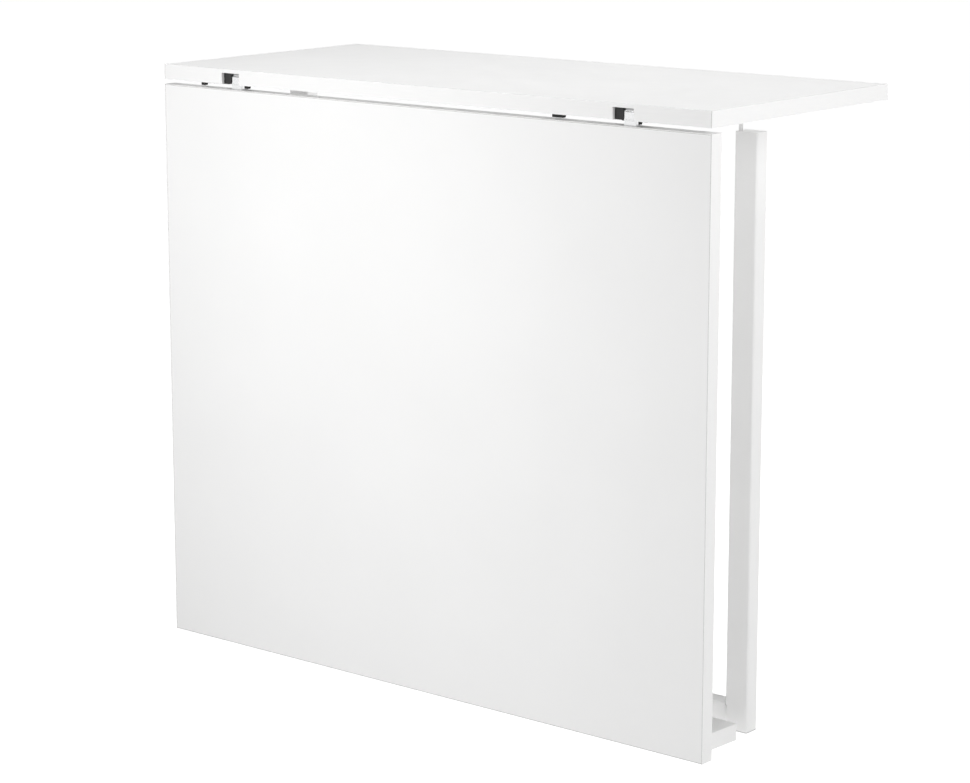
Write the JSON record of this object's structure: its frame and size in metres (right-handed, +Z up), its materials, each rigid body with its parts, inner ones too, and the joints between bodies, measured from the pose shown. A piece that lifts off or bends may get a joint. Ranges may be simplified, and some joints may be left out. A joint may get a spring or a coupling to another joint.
{
  "type": "gateleg table",
  "caption": "White gateleg table: narrow fixed top on a tube frame, a drop leaf hanging at the front, and a swinging gate folded behind the leaf.",
  "frame": {"origin": "on the floor under the middle of the fixed top", "axes": "+X along the table to its right, +Y to its back, +Z up; the leaf hangs at the front, on the -Y side"},
  "size_m": [0.8, 0.35, 0.73],
  "materials": {
    "white_board": "satin white lacquer on board",
    "edge_band": "satin white edge band",
    "frame_paint": "white powder coat",
    "chrome_plate": "bright plated",
    "zinc_steel": "zinc plated",
    "black_plastic": "moulded black",
    "grey_plastic": "moulded pale grey",
    "black_rubber": "matt",
    "felt": "pressed felt"
  },
  "bodies": {
    "stand": {"bottom_rail": "frame_paint", "buffer_1": "black_rubber", "buffer_2": "black_rubber", "buffer_3": "black_rubber", "buffer_4": "black_rubber", "foot_glide_left": "grey_plastic", "foot_left": "frame_paint", "gate_bracket_lower": "frame_paint", "gate_bracket_upper": "frame_paint", "gate_buffer": "black_rubber", "gate_pin_lower": "zinc_steel", "gate_pin_upper": "zinc_steel", "hinge_base_left": "black_plastic", "hinge_base_right": "black_plastic", "hinge_pin_left": "zinc_steel", "hinge_pin_right": "zinc_steel", "hinge_screw_left_1": "zinc_steel", "hinge_screw_left_2": "zinc_steel", "hinge_screw_right_1": "zinc_steel", "hinge_screw_right_2": "zinc_steel", "leg_cap_left": "frame_paint", "leg_cap_right": "frame_paint", "leg_glide_left": "grey_plastic", "leg_glide_right": "grey_plastic", "leg_left": "frame_paint", "leg_right": "frame_paint", "rail_screw_1": "zinc_steel", "rail_screw_2": "zinc_steel", "rail_screw_3": "zinc_steel", "rail_screw_4": "zinc_steel", "slab_band_back": "edge_band", "slab_band_front": "edge_band", "slab_band_left": "edge_band", "slab_band_right": "edge_band", "top_slab": "white_board", "upper_rail": "frame_paint"},
    "leaf": {"arm_screw_left": "zinc_steel", "arm_screw_right": "zinc_steel", "hinge_arm_left": "chrome_plate", "hinge_arm_right": "chrome_plate", "leaf_band_bottom": "edge_band", "leaf_band_left": "edge_band", "leaf_band_right": "edge_band", "leaf_band_top": "edge_band", "leaf_panel": "white_board", "rest_block": "white_board", "rest_pad": "felt", "rest_screw_1": "zinc_steel", "rest_screw_2": "zinc_steel"},
    "gate": {"gate_bush_lower": "grey_plastic", "gate_bush_upper": "grey_plastic", "gate_foot": "frame_paint", "gate_glide_back": "grey_plastic", "gate_glide_front": "grey_plastic", "gate_leg": "frame_paint", "gate_leg_cap": "frame_paint", "gate_post": "frame_paint", "gate_rail_lower": "frame_paint", "gate_rail_upper": "frame_paint"}
  },
  "joints": [
    {"name": "leaf_hinge", "type": "hinge", "parent": "stand", "child": "leaf", "pos_m": [0, -0.165, 0.72], "axis": [-1, 0, 0], "range_deg": [0, 90]},
    {"name": "gate_swing", "type": "hinge", "parent": "stand", "child": "gate", "pos_m": [-0.333, -0.036, 0], "axis": [0, 0, -1], "range_deg": [-2, 2.9]}
  ]
}
